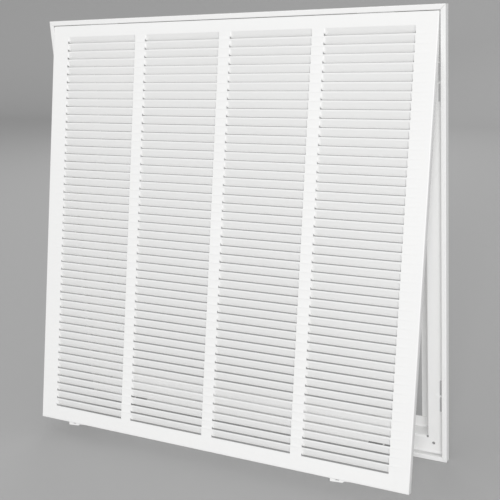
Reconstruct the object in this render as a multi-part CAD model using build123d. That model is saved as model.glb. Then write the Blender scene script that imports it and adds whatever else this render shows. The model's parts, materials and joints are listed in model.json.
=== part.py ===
from build123d import *
import math
import os

# Return air filter grille: a folded sheet frame with a louvered door that swings about its top edge.
# Sizes are in millimetres. +Z is up and the front faces -Y.
# The origin is the middle of the four screw holes, on the plane of the wall.

# Frame, as a section that runs from the outer edge inwards
frame_width = 676.3
frame_height = 676.3
frame_sheet = 0.8
flange_depth = 12.0
flange_face = 7.5
box_inset = 33.9
box_depth = 28.0
lip_width = 17.0
flange_bend = 0.4
step_bend = 2.6
box_bend = 2.6
lip_bend = 1.5
mitre_slit = 0.3
lip_gap = 0.5

# Holes in the frame's ledge
screw_inset = 23.7
screw_hole_radius = 2.5
relief_radius = 2.2
slot_length = 24.5
slot_reach = 6.2
slot_bridge = 2.8
slot_pair_inset = 104.0
dimple_length = 8.0
dimple_width = 6.5
dimple_height = 0.5
dimple_gap = 1.7
dimple_chamfer = 0.3

# Door panel
door_gap = 1.0
door_sheet = 0.8
door_return = 10.0
door_bend = 0.8
return_slit = 0.3
open_angle = 13.0

# Louvers
columns = 4
side_margin = 30.9
rib_width = 18.5
top_margin = 18.1
least_bottom_margin = 23.5
row_pitch = 12.9
slat_length = 11.0
slat_angle = 27.5
cheek_width = 3.2
cheek_length = 6.5

# Hinge pins, one at each end of the door's top edge
hinge_inset = 3.5
pin_radius = 1.5
pin_clearance = 0.06
pin_head_radius = 2.2
pin_head_length = 1.2
pin_collar_radius = 2.2
pin_collar_length = 0.8
pin_overhang = 4.0
pin_chamfer = 0.4

# Latches, measured from the door's lower edge and from the side edge that each is near
latch_left_inset = 95.5
latch_right_inset = 82.3
latch_height = 11.0
latch_turned_out = 4.0
lever_reach = 38.0
lever_edge_gap = 0.2
lever_tip_height = 6.8
tongue_length = 19.4
tongue_taper = 3.0
tongue_drop = 2.1
lever_hub_radius = 6.5
lever_sheet = 1.1
lever_slot_length = 6.0
lever_slot_height = 2.0
lever_slot_inset = 11.5
lever_slot_rise = 3.5
stud_radius = 2.5
stud_tail = 1.5
turning_clearance = 0.05
washer_radius = 6.0
washer_thickness = 0.8
nut_radius = 5.6
nut_thickness = 0.8
tongue_clearance = 0.3
lever_slot_past = 3.0

# Derived sizes
half_width = frame_width / 2
half_height = frame_height / 2
door_inset = flange_face + door_gap
door_width = frame_width - 2 * door_inset
door_height = frame_height - 2 * door_inset
door_left = -door_width / 2
door_bottom = -door_height / 2
door_top = door_height / 2
column_width = (door_width - 2 * side_margin - (columns - 1) * rib_width) / columns
land = row_pitch - slat_length
rows = int((door_height - top_margin - least_bottom_margin + land) / row_pitch)
latch_places = {"left": door_left + latch_left_inset, "right": -door_left - latch_right_inset}
hinge_forward = flange_depth - hinge_inset
hinge_z = door_top - hinge_inset
washer_front = flange_depth - door_sheet
lever_front = washer_front - washer_thickness - turning_clearance
lever_back = lever_front - lever_sheet
nut_front = lever_back - turning_clearance
# The cutters are this much longer than what they cut.
extra = 1.0


def block(x_range, forward_range, z_range):
    """A box between two x, two distances in front of the wall and two heights."""
    size = [high - low for low, high in (x_range, forward_range, z_range)]
    middle = [(high + low) / 2 for low, high in (x_range, forward_range, z_range)]
    return Pos(middle[0], -middle[1], middle[2]) * Box(*size)


def round_bar(radius, forward_range):
    """A round bar along Y between two distances in front of the wall, centred on x = z = 0."""
    length = forward_range[1] - forward_range[0]
    middle = (forward_range[0] + forward_range[1]) / 2
    return Pos(0, -middle, 0) * Rot(90, 0, 0) * Cylinder(radius, length)


def cross_bar(radius, x_range):
    """A round bar along X between two x, centred on y = z = 0."""
    length = x_range[1] - x_range[0]
    return Pos((x_range[0] + x_range[1]) / 2, 0, 0) * Rot(0, 90, 0) * Cylinder(radius, length)


def folded_section(points, bends, sheet):
    """Section of a folded sheet. The points run along its front, and the sheet lies on their right."""
    ways = []
    for start, end in zip(points, points[1:]):
        length = math.dist(start, end)
        ways.append(((end[0] - start[0]) / length, (end[1] - start[1]) / length))
    rights = [(way[1], -way[0]) for way in ways]
    first, last = points[0], points[-1]
    back = [(first[0] + sheet * rights[0][0], first[1] + sheet * rights[0][1])]
    front_radii = []
    back_radii = []
    for index, bend in enumerate(bends):
        before, after = ways[index], ways[index + 1]
        corner = points[index + 1]
        shift_x = rights[index][0] + rights[index + 1][0]
        shift_y = rights[index][1] + rights[index + 1][1]
        back.append((corner[0] + sheet * shift_x, corner[1] + sheet * shift_y))
        turns_right = before[0] * after[1] - before[1] * after[0] < 0
        front_radii.append(bend + sheet if turns_right else bend)
        back_radii.append(bend if turns_right else bend + sheet)
    back.append((last[0] + sheet * rights[-1][0], last[1] + sheet * rights[-1][1]))
    front_line = FilletPolyline(*points, radius=front_radii)
    back_line = FilletPolyline(*back, radius=back_radii)
    ends = Line(points[0], back[0]) + Line(points[-1], back[-1])
    return make_face((front_line + back_line + ends).edges())


def rail(length, lip_half_length):
    """One side of the frame along X, with its outer edge at z = 0 and its inner side towards +Z."""
    front = [
        (0, 0),
        (0, flange_depth),
        (flange_face, flange_depth),
        (flange_face, frame_sheet),
        (box_inset, frame_sheet),
        (box_inset, frame_sheet - box_depth),
        (box_inset + lip_width, frame_sheet - box_depth),
    ]
    bends = [flange_bend, flange_bend, step_bend, box_bend, lip_bend]
    start = Plane(origin=(-length / 2, 0, 0), x_dir=(0, 0, 1), z_dir=(1, 0, 0))
    bar = extrude(start * folded_section(front, bends, frame_sheet), length)
    # The ends are mitred as far as the box wall, and the lip is cut square.
    half = length / 2
    lip_end = box_inset + lip_width + extra
    outline = Polyline(
        (-half, 0),
        (half, 0),
        (half - box_inset, box_inset),
        (lip_half_length, box_inset),
        (lip_half_length, lip_end),
        (-lip_half_length, lip_end),
        (-lip_half_length, box_inset),
        (-half + box_inset, box_inset),
        close=True,
    )
    reach = flange_depth + box_depth
    return bar & extrude(Plane.XZ * make_face(outline.edges()), reach, both=True)


def slot_pair():
    """Cutter for two slots across the fold between the step and the ledge, with a bridge between."""
    cutters = []
    for side in (-1, 1):
        middle = side * (slot_length + slot_bridge) / 2
        span = (middle - slot_length / 2, middle + slot_length / 2)
        rise = (-extra, flange_depth - frame_sheet - flange_bend)
        cutters.append(block(span, rise, (flange_face - frame_sheet - extra, flange_face + slot_reach)))
    return cutters


def dimple():
    """A raised mark on the ledge beside the bridge of a slot pair."""
    low = flange_face + slot_reach + dimple_gap
    mark = block(
        (-dimple_length / 2, dimple_length / 2),
        (frame_sheet / 2, frame_sheet + dimple_height),
        (low, low + dimple_width),
    )
    return chamfer(mark.faces().sort_by(Axis.Y)[0].edges(), dimple_chamfer)


def diagonal_slit(width, inset_range, forward_range, corner_x, corner_z):
    """Cutter for a thin slit on the diagonal of a corner, between two insets."""
    low, high = (inset * math.sqrt(2) for inset in inset_range)
    bar = block((low, high), forward_range, (-width / 2, width / 2))
    right = corner_x > 0
    upper = corner_z > 0
    turn = {(False, False): -45, (False, True): 45, (True, True): 135, (True, False): -135}[(right, upper)]
    return Pos(corner_x, 0, corner_z) * Rot(0, turn, 0) * bar


side_places = {
    "bottom": Pos(0, 0, -half_height),
    "top": Pos(0, 0, half_height) * Rot(0, 180, 0),
    "left": Pos(-half_width, 0, 0) * Rot(0, 90, 0),
    "right": Pos(half_width, 0, 0) * Rot(0, -90, 0),
}
# A lever's tongue fills the slot on its side of the bridge.
tongue_slot_end = lever_reach + slot_bridge / 2 - tongue_clearance
latch_pair_shift = tongue_slot_end - slot_length - slot_bridge / 2
side_slots = {
    "bottom": [pivot_x - latch_pair_shift for pivot_x in latch_places.values()],
    "top": [slot_pair_inset - half_width, half_width - slot_pair_inset],
    "left": [slot_pair_inset - half_height, half_height - slot_pair_inset],
    "right": [slot_pair_inset - half_height, half_height - slot_pair_inset],
}


def make_frame():
    """The frame as one folded sheet: four mitred sides joined through the ledge."""
    flat_lip = half_width - box_inset - lip_gap
    side_lip = half_height - box_inset - lip_width - lip_gap
    flat_rail = rail(frame_width, flat_lip)
    side_rail = rail(frame_height, side_lip)
    body = side_places["bottom"] * flat_rail + side_places["top"] * flat_rail
    body += [side_places["left"] * side_rail, side_places["right"] * side_rail]
    marks = []
    cutters = []
    for side, spots in side_slots.items():
        for spot in spots:
            place = side_places[side] * Pos(spot, 0, 0)
            cutters += [place * cutter for cutter in slot_pair()]
            marks.append(place * dimple())
    for corner_x in (-half_width, half_width):
        for corner_z in (-half_height, half_height):
            inward_x = -math.copysign(1, corner_x)
            inward_z = -math.copysign(1, corner_z)
            screw_place = Pos(corner_x + inward_x * screw_inset, 0, corner_z + inward_z * screw_inset)
            cutters.append(screw_place * round_bar(screw_hole_radius, (-extra, frame_sheet + extra)))
            relief_inset = box_inset - frame_sheet / 2
            relief_place = Pos(corner_x + inward_x * relief_inset, 0, corner_z + inward_z * relief_inset)
            relief_span = (-box_bend - frame_sheet, frame_sheet + extra)
            cutters.append(relief_place * round_bar(relief_radius, relief_span))
            flange_span = (-extra, flange_depth + extra)
            cutters.append(
                diagonal_slit(mitre_slit, (-extra, flange_face), flange_span, corner_x, corner_z)
            )
            box_span = (-box_depth - extra, frame_sheet + extra)
            box_insets = (relief_inset, box_inset + lip_width / 2)
            cutters.append(diagonal_slit(mitre_slit, box_insets, box_span, corner_x, corner_z))
    for side_x in (-1, 1):
        inner = half_width - flange_face - extra
        outer = half_width - flange_face + frame_sheet + extra
        ends = sorted((side_x * inner, side_x * outer))
        cutters.append(Pos(0, -hinge_forward, hinge_z) * cross_bar(pin_radius, ends))
    return (body + marks) - cutters


def slat_block(section, end_line):
    """A bar along X with a section of (height, depth) points, its ends cut along (inset, depth) lines."""
    half = column_width / 2
    reach = half + door_sheet + extra
    start = Plane(origin=(-reach, 0, 0), x_dir=(0, 0, 1), z_dir=(1, 0, 0))
    outline = Polyline(*[(z, -depth) for z, depth in section], close=True)
    bar = extrude(start * make_face(outline.edges()), 2 * reach)
    left = [(inset - half, depth) for inset, depth in end_line]
    right = [(-x, depth) for x, depth in reversed(left)]
    ends = Polyline(*left, *right, close=True)
    return bar & extrude(make_face(ends.edges()), row_pitch, both=True)


def make_slat():
    """One slat below its upper edge at z = 0, bent inwards, with its ends drawn into cheeks.

    The sheet is cut along the slat's foot and part of the way up its sides. Above that it is drawn:
    the slat's ends slant in, and a cheek closes each side from the uncut length to the tip's corner.
    """
    angle = math.radians(slat_angle)
    tip = (-slat_length * math.cos(angle), slat_length * math.sin(angle))
    tip_back = (tip[0] + door_sheet * math.sin(angle), tip[1] + door_sheet * math.cos(angle))
    bend_back = (door_sheet * math.tan(angle / 2), door_sheet)
    root = land / 2
    slope = math.atan2(tip[1], cheek_width)
    side_step = door_sheet / math.sin(slope)
    deep = tip_back[1] + extra
    run = deep / math.tan(slope)
    hollow = slat_block([(0, 0), (-cheek_length, 0), tip], [(0, 0), (run, deep)])
    metal = slat_block(
        [(root, 0), (-cheek_length, 0), tip, tip_back, bend_back, (root, door_sheet)],
        [(-side_step, 0), (run - side_step, deep)],
    )
    return metal - hollow


def make_door():
    """The door as one folded sheet, closed, with its front flush with the flange."""
    back = flange_depth - door_return
    sides = ((door_left, -door_left), (door_bottom, door_top))
    outer = block(sides[0], (back, flange_depth), sides[1])
    outer = fillet(outer.faces().sort_by(Axis.Y)[0].edges(), door_bend + door_sheet)
    inner = block(
        (door_left + door_sheet, -door_left - door_sheet),
        (back - extra, flange_depth - door_sheet),
        (door_bottom + door_sheet, door_top - door_sheet),
    )
    inner = fillet(inner.faces().sort_by(Axis.Y)[0].edges(), door_bend)
    panel = outer - inner
    span = columns * column_width + (columns - 1) * rib_width
    column_centres = [
        -span / 2 + column_width / 2 + index * (column_width + rib_width) for index in range(columns)
    ]
    row_tops = [door_top - top_margin - index * row_pitch for index in range(rows)]
    window = block(
        (-column_width / 2, column_width / 2),
        (flange_depth - door_sheet - extra, flange_depth + extra),
        (-slat_length, 0),
    )
    places = [Pos(x, 0, z) for x in column_centres for z in row_tops]
    cutters = [place * window for place in places]
    # Slits part the returns at the corners, and the pins pass through the side returns.
    for corner_x in sides[0]:
        for corner_z in sides[1]:
            return_span = (back - extra, flange_depth - door_sheet - door_bend)
            cutters.append(
                diagonal_slit(return_slit, (-extra, door_sheet + extra), return_span, corner_x, corner_z)
            )
    for side_x in (-1, 1):
        ends = sorted((side_x * (door_width / 2 - door_sheet - extra), side_x * (door_width / 2 + extra)))
        pin_hole = cross_bar(pin_radius + pin_clearance, ends)
        cutters.append(Pos(0, -hinge_forward, hinge_z) * pin_hole)
    for pivot_x in latch_places.values():
        cutters.append(
            block(
                (pivot_x - lever_reach - lever_slot_past, pivot_x + lever_slot_past),
                (lever_back - tongue_clearance, lever_front + tongue_clearance),
                (door_bottom - extra, door_bottom + door_sheet + extra),
            )
        )
    slat = Pos(0, -flange_depth, 0) * make_slat()
    slats = [place * slat for place in places]
    return (panel - cutters) + slats


def make_lever():
    """A latch lever about its stud at x = z = 0, pointing to -X, parallel to the door's lower edge."""
    low = lever_edge_gap - latch_height
    tongue_low = low - tongue_drop
    arm = Polyline(
        (0, lever_hub_radius),
        (-lever_reach, low + lever_tip_height),
        (-lever_reach, tongue_low),
        (tongue_length - lever_reach, tongue_low),
        (tongue_length + tongue_taper - lever_reach, low),
        (0, low),
        close=True,
    )
    section = make_face(arm.edges()) + Circle(lever_hub_radius)
    section -= Circle(stud_radius + turning_clearance)
    slot_place = Pos(lever_slot_inset - lever_reach, tongue_low + lever_slot_rise)
    section -= slot_place * SlotOverall(lever_slot_length, lever_slot_height)
    plane = Plane(origin=(0, -lever_back, 0), x_dir=(1, 0, 0), z_dir=(0, -1, 0))
    return extrude(plane * section, lever_sheet)


def make_pin():
    """The left hinge pin on the axis y = z = 0: a head behind the step, a collar and a shank."""
    wall = -half_width + flange_face
    head = cross_bar(pin_head_radius, (wall - frame_sheet - pin_head_length, wall - frame_sheet))
    shank_end = wall + door_gap + door_sheet + pin_overhang
    shank = cross_bar(pin_radius, (wall - frame_sheet - pin_head_length, shank_end))
    collar = cross_bar(pin_collar_radius, (wall, wall + pin_collar_length))
    pin = head + shank + collar
    tip = pin.faces().sort_by(Axis.X)[-1].edges()
    return chamfer(tip, pin_chamfer)


def ring(outer_radius, inner_radius, front, thickness):
    """A flat ring about the Y axis behind a distance in front of the wall."""
    span = (front - thickness, front)
    return round_bar(outer_radius, span) - round_bar(inner_radius, (span[0] - extra, span[1] + extra))


hinge_place = Pos(0, -hinge_forward, hinge_z)
swing = hinge_place * Rot(-open_angle, 0, 0) * Pos(0, hinge_forward, -hinge_z)

nodes = {"frame": make_frame(), "door_panel": swing * make_door()}
left_pin = make_pin()
nodes["hinge_pin_left"] = hinge_place * left_pin
nodes["hinge_pin_right"] = hinge_place * Rot(0, 0, 180) * left_pin
for side, pivot_x in latch_places.items():
    pivot = swing * Pos(pivot_x, 0, door_bottom + latch_height)
    stud = round_bar(stud_radius, (nut_front - nut_thickness - stud_tail, washer_front))
    washer = ring(washer_radius, stud_radius, washer_front, washer_thickness)
    nodes[f"latch_stud_{side}"] = pivot * stud
    nodes[f"latch_washer_{side}"] = pivot * washer
    nodes[f"latch_lever_{side}"] = pivot * Rot(0, -latch_turned_out, 0) * make_lever()
    nodes[f"latch_nut_{side}"] = pivot * ring(nut_radius, stud_radius, nut_front, nut_thickness)

os.makedirs("parts", exist_ok=True)
for name, solid in nodes.items():
    solid.label = name
    export_step(solid, f"parts/{name}.step")
    box = solid.bounding_box()
    print(name, [round(v, 2) for v in (*box.min, *box.max)])
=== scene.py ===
# %% [markdown]
# A return air filter grille in white powder coat.
# A folded sheet frame screws over a square opening in a wall or a ceiling, and a louvered door hangs in it.
# The frame, the hinge pins and the latches keep the shape of the CAD model. The door is folded again here,
# with round bends at each slat, because they catch the light that tells an eye that it sees sheet metal.

# %% Imports and the CAD frame
import json
import math

import bpy
import bmesh
import numpy as np
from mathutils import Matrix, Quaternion, Vector


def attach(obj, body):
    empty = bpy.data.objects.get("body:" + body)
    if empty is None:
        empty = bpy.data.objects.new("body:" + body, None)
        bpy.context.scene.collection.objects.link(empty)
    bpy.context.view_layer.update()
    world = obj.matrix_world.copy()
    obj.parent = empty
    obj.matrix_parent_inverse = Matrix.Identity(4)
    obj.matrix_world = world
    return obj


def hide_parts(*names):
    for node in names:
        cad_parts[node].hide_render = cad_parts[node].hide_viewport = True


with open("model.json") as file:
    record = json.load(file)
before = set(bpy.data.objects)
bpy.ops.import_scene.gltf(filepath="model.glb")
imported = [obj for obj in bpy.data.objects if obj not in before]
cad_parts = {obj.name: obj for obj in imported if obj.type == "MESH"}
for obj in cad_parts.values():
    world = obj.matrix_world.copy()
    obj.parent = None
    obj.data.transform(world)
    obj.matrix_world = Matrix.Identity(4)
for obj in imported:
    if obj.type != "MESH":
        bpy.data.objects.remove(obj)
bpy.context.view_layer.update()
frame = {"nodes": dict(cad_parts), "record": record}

# %% [markdown]
# Lengths are written in millimetres, as a maker would read them off a drawing.
# Blender works in metres here, so one factor turns the first into the second.
# The door is square, and the frame's flange stands as far out from the wall as FLANGE_DEPTH says.

# %% Sizes of the door
MM = 0.001
FLANGE_DEPTH = 12.0
DOOR_SIZE = 659.3
DOOR_SHEET = 0.8
DOOR_RETURN = 10.0
DOOR_BEND = 1.6
RETURN_SLIT = 0.25
HINGE_INSET = 3.5
OPEN_ANGLE = math.radians(13.0)
print("door in millimetres", DOOR_SIZE)

# %% Sizes of the slats and the latches
COLUMNS = 4
ROWS = 48
COLUMN_WIDTH = 135.5
RIB_WIDTH = 18.5
TOP_MARGIN = 18.1
ROW_PITCH = 12.9
SLAT_LENGTH = 11.0
SLAT_ANGLE = math.radians(27.5)
SLAT_BEND = 1.8
CHEEK_WIDTH = 3.2
CHEEK_LENGTH = 6.5
LATCH_PLACES = np.array([95.5, 577.0])
LATCH_SLOT_REACH = 41.0
LATCH_SLOT_PAST = 3.0
LATCH_SLOT_DEPTH = 3.05
print("slats in the door", COLUMNS * ROWS)

# %% [markdown]
# Shader maths reads best as arithmetic. This small class wraps a socket of a node tree,
# so that an expression such as 0.36 + drift * 0.1 adds its own Math nodes.
# Every other kind of node comes from its one method, which takes the node's type,
# its settings and the values or links of its sockets.


# %% A socket that can be used in sums
class Signal:
    """One output socket in a node tree, with arithmetic."""

    def __init__(self, tree, socket=None):
        self.tree = tree
        self.socket = socket

    def node(self, kind, settings, sockets, output=0):
        """Adds a node of a type, sets its settings, then its sockets, and returns one of its outputs."""
        made = self.tree.nodes.new(kind)
        for name, setting in settings.items():
            setattr(made, name, setting)
        for name, value in sockets.items():
            if isinstance(value, Signal):
                self.tree.links.new(value.socket, made.inputs[name])
            else:
                made.inputs[name].default_value = value
        return Signal(self.tree, made.outputs[output])

    def sum_of(self, operation, first, second):
        """Adds one Math node for an operation on two values."""
        return self.node("ShaderNodeMath", {"operation": operation}, {0: first, 1: second})

    def __add__(self, other):
        return self.sum_of("ADD", self, other)

    def __radd__(self, other):
        return self.sum_of("ADD", other, self)

    def __mul__(self, other):
        return self.sum_of("MULTIPLY", self, other)

    def __rmul__(self, other):
        return self.sum_of("MULTIPLY", other, self)


# %% [markdown]
# Both finishes of this grille are made with nodes: a start and an end that they share,
# and a soft noise on Object coordinates, which stay on the metal when a piece moves.


# %% Helpers that make a material
def start_material(name):
    """An empty node material and its tree."""
    material = bpy.data.materials.new(name)
    material.use_nodes = True
    material.node_tree.nodes.clear()
    return material, Signal(material.node_tree)


def finish_material(shade, surface):
    """Joins a surface shader to the material's output."""
    output = shade.tree.nodes.new("ShaderNodeOutputMaterial")
    shade.tree.links.new(surface.socket, output.inputs["Surface"])


def noise(shade, place, scale, detail):
    """A soft noise from 0 to 1 on a place, with a scale in cycles per metre."""
    sockets = {"Vector": place, "Scale": scale, "Detail": detail, "Roughness": 0.5}
    return shade.node("ShaderNodeTexNoise", {}, sockets)


# %% [markdown]
# Powder coat is sprayed on as dry dust and melted in an oven. It flows into a skin with a faint
# orange peel, a few millimetres from crest to crest, and it is a touch uneven in gloss.
# Two noises make that: a fine one bends the surface, and a broad one moves the tint and the roughness.

# %% The white powder coat
COAT_WHITE = (0.87, 0.87, 0.865)
COAT_DARKEST = 0.975
COAT_ROUGHNESS = 0.36
COAT_ROUGHNESS_DRIFT = 0.1
DRIFT_SCALE = 5.0
PEEL_SCALE = 420.0
PEEL_HEIGHT = 0.0002
PEEL_STRENGTH = 0.12


def powder_coat(name, colour):
    """White powder coat: an even tint with a broad drift, a soft gloss and a fine orange peel."""
    material, shade = start_material(name)
    place = shade.node("ShaderNodeTexCoord", {}, {}, output="Object")
    drift = noise(shade, place, DRIFT_SCALE, 3.0)
    peel = noise(shade, place, PEEL_SCALE, 2.0)
    dark = [channel * COAT_DARKEST for channel in colour]
    tints = {0: drift, 6: (*dark, 1.0), 7: (*colour, 1.0)}
    tint = shade.node("ShaderNodeMix", {"data_type": "RGBA"}, tints, output=2)
    bumps = {"Height": peel, "Strength": PEEL_STRENGTH, "Distance": PEEL_HEIGHT}
    bump = shade.node("ShaderNodeBump", {}, bumps)
    roughness = COAT_ROUGHNESS + drift * COAT_ROUGHNESS_DRIFT
    coat = {"Base Color": tint, "Roughness": roughness, "Normal": bump, "IOR": 1.5}
    finish_material(shade, shade.node("ShaderNodeBsdfPrincipled", {}, coat))
    return material


white_paint = powder_coat("white_powder_coat", COAT_WHITE)
print("made", white_paint.name)

# %% [markdown]
# The pins, studs, washers and nuts are bare zinc-plated steel. Plating is bright but not a mirror:
# its gloss is cloudy, and tumbling in the plating barrel leaves short fine scratches in every direction.
# A noise that is stretched more along one axis than along the others makes the scratches.

# %% The plated steel
ZINC_GREY = (0.62, 0.63, 0.65)
ZINC_ROUGHNESS = 0.28
ZINC_ROUGHNESS_CLOUD = 0.2
CLOUD_SCALE = 300.0
SCRATCH_SCALES = (9000.0, 900.0, 2500.0)
SCRATCH_HEIGHT = 0.00005
SCRATCH_STRENGTH = 0.25


def plated_steel(name, colour):
    """Zinc-plated steel: a metal tint with cloudy roughness and fine scratches from a stretched noise."""
    material, shade = start_material(name)
    place = shade.node("ShaderNodeTexCoord", {}, {}, output="Object")
    cloud = noise(shade, place, CLOUD_SCALE, 3.0)
    stretched = shade.node("ShaderNodeMapping", {}, {"Vector": place, "Scale": SCRATCH_SCALES})
    scratches = noise(shade, stretched, 1.0, 2.0)
    bumps = {"Height": scratches, "Strength": SCRATCH_STRENGTH, "Distance": SCRATCH_HEIGHT}
    bump = shade.node("ShaderNodeBump", {}, bumps)
    roughness = ZINC_ROUGHNESS + cloud * ZINC_ROUGHNESS_CLOUD
    metal = {"Base Color": (*colour, 1.0), "Metallic": 1.0, "Roughness": roughness, "Normal": bump}
    finish_material(shade, shade.node("ShaderNodeBsdfPrincipled", {}, metal))
    return material


steel = plated_steel("zinc_plated_steel", ZINC_GREY)
print("made", steel.name)

# %% [markdown]
# Each CAD node takes its finish here. The frame and the levers are coated like the door,
# and the small hardware is plated.

# %% Finishes on the CAD nodes
for name, piece in frame["nodes"].items():
    coated = name in ("frame", "door_panel") or name.startswith("latch_lever")
    piece.data.materials.clear()
    piece.data.materials.append(white_paint if coated else steel)
print("nodes with a finish", len(frame["nodes"]))

# %% [markdown]
# The door is one blank of sheet metal. Windows are cut on three sides, each slat is pushed in
# about its upper edge, and the four edges are folded back. So it is modelled as a sheet with no thickness,
# and a Solidify modifier gives it the gauge of the metal, edges and all.
# A grid with lines at every cut is the simplest sheet that has all the holes in the right places.

# %% Helpers that make a sheet
SHEET_SAME_POINT = 1e-7


def quads(rows, columns, keep=None):
    """Corner numbers of the cells of a grid whose points are numbered row by row."""
    first = np.arange(rows - 1)[:, None] * columns + np.arange(columns - 1)[None, :]
    cells = np.stack([first, first + 1, first + columns + 1, first + columns], axis=-1)
    return cells.reshape(-1, 4) if keep is None else cells[keep]


def swung(points):
    """Turns points of the closed door about its hinge: y and z are rotated by the opening angle."""
    hinge = np.array([0.0, HINGE_INSET - FLANGE_DEPTH, DOOR_SIZE / 2 - HINGE_INSET])
    cosine, sine = math.cos(OPEN_ANGLE), math.sin(OPEN_ANGLE)
    turn = np.array([[1.0, 0.0, 0.0], [0.0, cosine, sine], [0.0, -sine, cosine]])
    return (points - hinge) @ turn.T + hinge


def merge_points(mesh, distance):
    """Joins points of a mesh that lie within a distance in metres, and drops points with no face."""
    work = bmesh.new()
    work.from_mesh(mesh)
    bmesh.ops.remove_doubles(work, verts=work.verts, dist=distance)
    loose = [vertex for vertex in work.verts if not vertex.link_faces]
    bmesh.ops.delete(work, geom=loose, context="VERTS")
    work.to_mesh(mesh)
    work.free()


def add_piece(name, mesh):
    """An object with a mesh, at the origin, in the scene."""
    piece = bpy.data.objects.new(name, mesh)
    bpy.context.scene.collection.objects.link(piece)
    return piece


def sheet_piece(name, parts):
    """One mesh piece from (points, cells) parts, in millimetres, with its doubled points merged."""
    starts = np.cumsum([0] + [len(points) for points, cells in parts[:-1]])
    all_points = np.concatenate([points for points, cells in parts]) * MM
    all_cells = np.concatenate([cells + start for (points, cells), start in zip(parts, starts)])
    mesh = bpy.data.meshes.new(name)
    mesh.from_pydata(all_points.tolist(), [], all_cells.tolist())
    merge_points(mesh, SHEET_SAME_POINT)
    return add_piece(name, mesh)


# %% [markdown]
# Sheet metal shades flat on its faces and soft round its bends. Smooth shading with weighted normals
# gives both: the normal at a point leans most towards the largest face there, so a wide flat stays flat
# and only the narrow bend beside it looks round.


# %% Helpers that shade a sheet
def shade_smooth(mesh):
    """Marks every face of a mesh as smooth."""
    mesh.polygons.foreach_set("use_smooth", np.ones(len(mesh.polygons), dtype=bool))


def keep_flats(piece):
    """A modifier that weighs the normals by the area of the faces and keeps sharp edges."""
    flats = piece.modifiers.new("flats", "WEIGHTED_NORMAL")
    flats.keep_sharp = True


def thicken(piece, gauge):
    """Gives a sheet its gauge in millimetres, towards the back."""
    solid = piece.modifiers.new("gauge", "SOLIDIFY")
    solid.thickness = gauge * MM
    solid.offset = -1.0
    solid.use_even_offset = True


# %% [markdown]
# A slat starts level with the face, follows the arc of the press tool and runs straight to its tip.
# The tool cuts the sheet along the slat's foot and a short way up its sides. Above that the metal
# isn't cut: it stretches, so each end of a slat flows into the face as a small cheek.
# Both the arc and the cheek are plain functions of two distances, down the slat and in from its end.


# %% The shape of a slat
def slat_section(down):
    """Drop and depth at a distance down the slat: r sin a and r (1 - cos a) on the arc, then straight."""
    turn = np.minimum(down / SLAT_BEND, SLAT_ANGLE)
    past = np.maximum(down - SLAT_BEND * SLAT_ANGLE, 0.0)
    drop = SLAT_BEND * np.sin(turn) + past * math.cos(SLAT_ANGLE)
    depth = SLAT_BEND * (1.0 - np.cos(turn)) + past * math.sin(SLAT_ANGLE)
    return drop, depth


def slat_surface(down, inwards):
    """Drop and depth of a slat with cheeks. A smooth step 3t^2 - 2t^3 blends the face into the section."""
    share = np.clip(inwards / CHEEK_WIDTH, 0.0, 1.0)
    step = share * share * (3.0 - 2.0 * share)
    drop, depth = slat_section(down)
    return down + step * (drop - down), step * depth


def slat_foot(inwards):
    """How far down the slat its cut edge lies: the uncut length at the end, then a parabola to the tip."""
    short = np.clip(1.0 - inwards / CHEEK_WIDTH, 0.0, 1.0)
    return SLAT_LENGTH - (SLAT_LENGTH - CHEEK_LENGTH) * short * short


# %% The grid of one slat
ARC_STEPS = 4
CHEEK_STEPS = 5
arc_length = SLAT_BEND * SLAT_ANGLE
arc_downs = np.linspace(0.0, arc_length, ARC_STEPS)
past_shares = np.array([0.5, 1.0])
end_steps = np.linspace(0.0, CHEEK_WIDTH, CHEEK_STEPS)
slat_x = np.concatenate([end_steps, COLUMN_WIDTH - end_steps[::-1]])
slat_inwards = np.minimum(slat_x, COLUMN_WIDTH - slat_x)
foot = slat_foot(slat_inwards)
straight_downs = arc_length + past_shares[:, None] * (foot - arc_length)
slat_downs = np.concatenate([np.repeat(arc_downs[:, None], len(slat_x), axis=1), straight_downs])
slat_drop, slat_depth = slat_surface(slat_downs, slat_inwards[None, :])
print("slat depth in millimetres", round(slat_depth.max() + DOOR_SHEET * math.cos(SLAT_ANGLE), 2))

# %% [markdown]
# The face has a line of points at each side of each window, and at each height where a cheek
# has a point, so that the cheeks and the face share their points and shade as one skin.
# There are lines for the two slots of the latches too.

# %% The lines of the face
half = DOOR_SIZE / 2
flat = half - DOOR_BEND
pitch_x = COLUMN_WIDTH + RIB_WIDTH
centres = (np.arange(COLUMNS) - (COLUMNS - 1) / 2) * pitch_x
window_sides = centres[:, None] + np.array([-0.5, 0.5]) * COLUMN_WIDTH
slot_sides = (LATCH_PLACES - half)[:, None] + np.array([-LATCH_SLOT_REACH, LATCH_SLOT_PAST])
lines_x = np.sort(np.concatenate([[-flat, flat], window_sides.ravel(), slot_sides.ravel()]))
window_tops = half - TOP_MARGIN - np.arange(ROWS) * ROW_PITCH
window_feet = window_tops - SLAT_LENGTH
side_lines = window_tops[:, None] - slat_downs[:, 0]
lines_z = np.sort(np.concatenate([[-flat, flat], side_lines.ravel(), window_feet]))
print("lines across and up", len(lines_x), len(lines_z))


# %% The face of the door
def between(lines, starts, ends):
    """Whether the middle of each span between two lines lies between any start and its end."""
    middle = (lines[1:, None] + lines[:-1, None]) / 2
    return ((middle > starts) & (middle < ends)).any(axis=1)


in_column = between(lines_x, window_sides[:, 0], window_sides[:, 1])
in_row = between(lines_z, window_feet, window_tops)
solid_cells = ~(in_row[:, None] & in_column[None, :])
face_x, face_z = np.meshgrid(lines_x, lines_z)
face_points = np.stack([face_x, np.full_like(face_x, -FLANGE_DEPTH), face_z], axis=-1).reshape(-1, 3)
face_part = (face_points, quads(len(lines_z), len(lines_x), solid_cells))
print("cells in the face", int(solid_cells.sum()))

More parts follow.
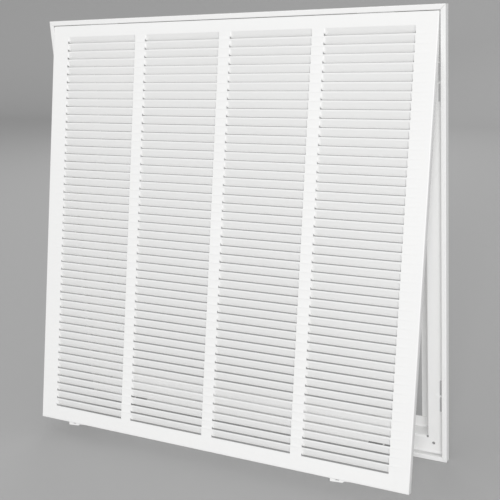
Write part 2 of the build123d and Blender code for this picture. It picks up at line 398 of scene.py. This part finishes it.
# %% [markdown]
# All 192 slats are one array. The grid of one slat is added to the place of each window,
# so the press tool's one shape is repeated exactly, as it is in the metal.

# %% The slats
slat_points = np.zeros((ROWS, COLUMNS, *slat_downs.shape, 3))
slat_points[..., 0] = window_sides[None, :, :1, None] + slat_x
slat_points[..., 1] = slat_depth - FLANGE_DEPTH
slat_points[..., 2] = window_tops[:, None, None, None] - slat_drop
one_slat = quads(*slat_downs.shape)[:, ::-1]
slat_starts = np.arange(ROWS * COLUMNS)[:, None, None] * slat_downs.size
slat_part = (slat_points.reshape(-1, 3), (one_slat[None] + slat_starts).reshape(-1, 4))
print("cells in one slat", len(one_slat))

# %% [markdown]
# The four returns are strips that leave the face on a bend and end a little short of each corner,
# where the blank was notched so that it could fold. The bend itself is mitred and closed.

# %% The fold of a return
bend = np.linspace(0.0, math.pi / 2, ARC_STEPS + 1)
fold_inset = DOOR_BEND * (1.0 - np.sin(bend))
fold_depth = DOOR_BEND * (1.0 - np.cos(bend))
profile_inset = np.append(fold_inset, [0.0, 0.0])
profile_depth = np.append(fold_depth, [LATCH_SLOT_DEPTH, DOOR_RETURN])
in_bend = np.arange(len(profile_inset)) < len(fold_inset)


def return_strip(lines, place, cells=None):
    """A strip of rows along the fold profile and columns along an edge, set in place by a function."""
    along = np.repeat(lines[None, :], len(profile_inset), axis=0)
    reach = np.where(in_bend, half - profile_inset, half - RETURN_SLIT)
    along[:, 0] = -reach
    along[:, -1] = reach
    inset = np.repeat(profile_inset[:, None], len(lines), axis=1)
    back = np.repeat(profile_depth[:, None], len(lines), axis=1)
    points = place(along, back - FLANGE_DEPTH, half - inset)
    return points.reshape(-1, 3), quads(len(profile_inset), len(lines), cells)


print("rows in a fold", len(profile_inset))

# %% The returns
slot_columns = between(lines_x, slot_sides[:, 0], slot_sides[:, 1])
slot_row = np.zeros(len(profile_inset) - 1, dtype=bool)
slot_row[-2] = True
around_slots = ~(slot_row[:, None] & slot_columns[None, :])
lower = return_strip(lines_x, lambda a, y, r: np.stack([a, y, -r], axis=-1), around_slots)
upper = return_strip(lines_x, lambda a, y, r: np.stack([a, y, r], axis=-1))
left = return_strip(lines_z, lambda a, y, r: np.stack([-r, y, a], axis=-1))
right = return_strip(lines_z, lambda a, y, r: np.stack([r, y, a], axis=-1))
strips = [(lower[0], lower[1][:, ::-1]), upper, left, (right[0], right[1][:, ::-1])]
print("strips", len(strips))

# %% [markdown]
# The face, the slats and the strips share points along their edges, so merging those points makes one sheet.
# Its faces are turned to look outwards before it gets its gauge, because Solidify thickens away from them.

# %% The door as one piece
DOOR_SHARP_ANGLE = math.radians(32.0)
door_parts = [face_part, slat_part] + strips
door = sheet_piece("door_sheet", [(swung(points), cells) for points, cells in door_parts])
work = bmesh.new()
work.from_mesh(door.data)
bmesh.ops.recalc_face_normals(work, faces=work.faces)
outward = sum(face.normal.y * face.calc_area() for face in work.faces)
if outward > 0:
    bmesh.ops.reverse_faces(work, faces=work.faces)
work.to_mesh(door.data)
work.free()
thicken(door, DOOR_SHEET)
shade_smooth(door.data)
keep_flats(door)
door.data.set_sharp_from_angle(angle=DOOR_SHARP_ANGLE)
door.data.materials.append(white_paint)
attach(door, "door")
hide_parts("door_panel")
print("door faces before its gauge", len(door.data.polygons))

# %% [markdown]
# The frame, the levers and the small hardware keep the shape of their CAD nodes. A copy of each has
# its doubled points merged, so that a bend shades as one smooth skin between edges that stay sharp.

# %% Smooth copies of the other CAD nodes
COPY_SAME_POINT = 1e-6
COPY_SHARP_ANGLE = math.radians(35.0)


def smooth_copy(name, body):
    """A copy of a CAD node with merged points, smooth over bends, that takes the node's place."""
    mesh = frame["nodes"][name].data.copy()
    merge_points(mesh, COPY_SAME_POINT)
    shade_smooth(mesh)
    mesh.set_sharp_from_angle(angle=COPY_SHARP_ANGLE)
    piece = add_piece(name + "_skin", mesh)
    keep_flats(piece)
    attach(piece, body)
    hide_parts(name)
    "white_paint" if mesh.materials[0] == white_paint else "plain_steel"
    return len(mesh.vertices)


for body, members in frame["record"]["behaviour"]["bodies"].items():
    counts = [smooth_copy(name, body) for name in members if name != "door_panel"]
    print("body", body, "points in its copies", counts)

# %% [markdown]
# The floor is a wide pale sheet that curves up behind the object, as a paper roll does in a studio.
# A function of two parameters gives it: x is free, and the profile is a floor, a quarter circle and a wall.
# The paper is matt, so that it shows no bright streak when it is seen at a low angle.

# %% Floor and backdrop
FLOOR_Z = -0.33815
SWEEP_FRONT = -4.5
SWEEP_BACK = 3.2
SWEEP_RADIUS = 1.2
SWEEP_STEPS = 25
SWEEP_HALF_WIDTH = 9.0
WALL_HEIGHT = 6.0
PAPER_GREY = (0.45, 0.45, 0.45, 1.0)
turn = np.linspace(0.0, math.pi / 2, SWEEP_STEPS)
curve_y = SWEEP_BACK + SWEEP_RADIUS * np.sin(turn)
curve_z = SWEEP_RADIUS * (1.0 - np.cos(turn))
sweep_y = np.concatenate([[SWEEP_FRONT], curve_y, [SWEEP_BACK + SWEEP_RADIUS]])
sweep_z = np.concatenate([[0.0], curve_z, [WALL_HEIGHT]]) + FLOOR_Z
grid_x, grid_y = np.meshgrid(np.array([-SWEEP_HALF_WIDTH, SWEEP_HALF_WIDTH]), sweep_y)
grid_z = np.repeat(sweep_z[:, None], 2, axis=1)
floor_points = np.stack([grid_x, grid_y, grid_z], axis=-1).reshape(-1, 3)
floor_mesh = bpy.data.meshes.new("studio_floor")
floor_mesh.from_pydata(floor_points.tolist(), [], quads(len(sweep_y), 2).tolist())
shade_smooth(floor_mesh)
paper, shade = start_material("studio_paper")
matt = {"Base Color": PAPER_GREY, "Roughness": 1.0, "Specular IOR Level": 0.0}
finish_material(shade, shade.node("ShaderNodeBsdfPrincipled", {}, matt))
floor_mesh.materials.append(paper)
add_piece("studio_floor", floor_mesh)
print("floor height", FLOOR_Z)

# %% [markdown]
# Soft light comes from a broad panel far off on the camera's side and a weak one behind the wall plane.
# The far panel lights the whole door evenly, and the one behind keeps the back of the frame from going grey.

# %% Lights
ORIGIN = (0.0, 0.0, 0.0)


def soft_panel(name, place, target, size, power):
    """A square area lamp at a place, turned towards a target."""
    data = bpy.data.lights.new(name, "AREA")
    data.shape = "SQUARE"
    data.size = size
    data.energy = power
    lamp = bpy.data.objects.new(name, data)
    lamp.location = place
    lamp.rotation_euler = (Vector(target) - Vector(place)).to_track_quat("-Z", "Y").to_euler()
    bpy.context.scene.collection.objects.link(lamp)
    return lamp


panels = [
    soft_panel("key_panel", (3.3, -6.9, 2.4), ORIGIN, 3.5, 350.0),
    soft_panel("back_panel", (-1.2, 2.6, 1.8), ORIGIN, 2.0, 20.0),
]
print("lamps", [panel.name for panel in panels])

# %% [markdown]
# The world lights the object evenly in white. Where a ray from the camera, a gloss or a clear surface
# meets it, it shows a grey like that of the paper, so the studio has no bright edge from any side.

# %% World
WORLD_LIGHT = 0.68
SKY_GREY = (0.34, 0.34, 0.34, 1.0)
world = bpy.data.worlds.new("studio_world")
bpy.context.scene.world = world
world.use_nodes = True
world.node_tree.nodes.clear()
sky = Signal(world.node_tree)
lighting = sky.node("ShaderNodeBackground", {}, {"Color": (1.0, 1.0, 1.0, 1.0), "Strength": WORLD_LIGHT})
seen = sky.node("ShaderNodeBackground", {}, {"Color": SKY_GREY, "Strength": 1.0})
looks = ("Is Camera Ray", "Is Glossy Ray", "Is Transmission Ray")
direct, gloss, through = [sky.node("ShaderNodeLightPath", {}, {}, output=kind) for kind in looks]
blend = sky.node("ShaderNodeMixShader", {}, {0: direct + gloss + through, 1: lighting, 2: seen})
world_output = sky.tree.nodes.new("ShaderNodeOutputWorld")
sky.tree.links.new(blend.socket, world_output.inputs["Surface"])
bpy.context.scene.view_settings.view_transform = "Standard"
print("nodes in the world", len(sky.tree.nodes))

# %% [markdown]
# The camera stands where the photograph was taken from, as seen from the frame: to the right, above,
# and turned a few degrees, because the real frame leant back while this one hangs upright.

# %% Camera
CAMERA_PLACE = Vector((0.70427, -1.19974, 0.36539))
CAMERA_AIM = Vector((0.05107, 0.00936, -0.02996))
CAMERA_ROLL = math.radians(-3.261)
FOCAL_LENGTH = 64.54
SENSOR_WIDTH = 36.0
CAMERA_SHIFT = -0.05
camera_data = bpy.data.cameras.new("camera")
camera_data.lens = FOCAL_LENGTH
camera_data.sensor_width = SENSOR_WIDTH
camera_data.shift_x = CAMERA_SHIFT
camera = bpy.data.objects.new("camera", camera_data)
camera.location = CAMERA_PLACE
aim = (CAMERA_AIM - CAMERA_PLACE).to_track_quat("-Z", "Y")
camera.rotation_euler = (aim @ Quaternion((0.0, 0.0, 1.0), CAMERA_ROLL)).to_euler()
bpy.context.scene.collection.objects.link(camera)
bpy.context.scene.camera = camera
print("camera at", tuple(round(value, 3) for value in camera.location))
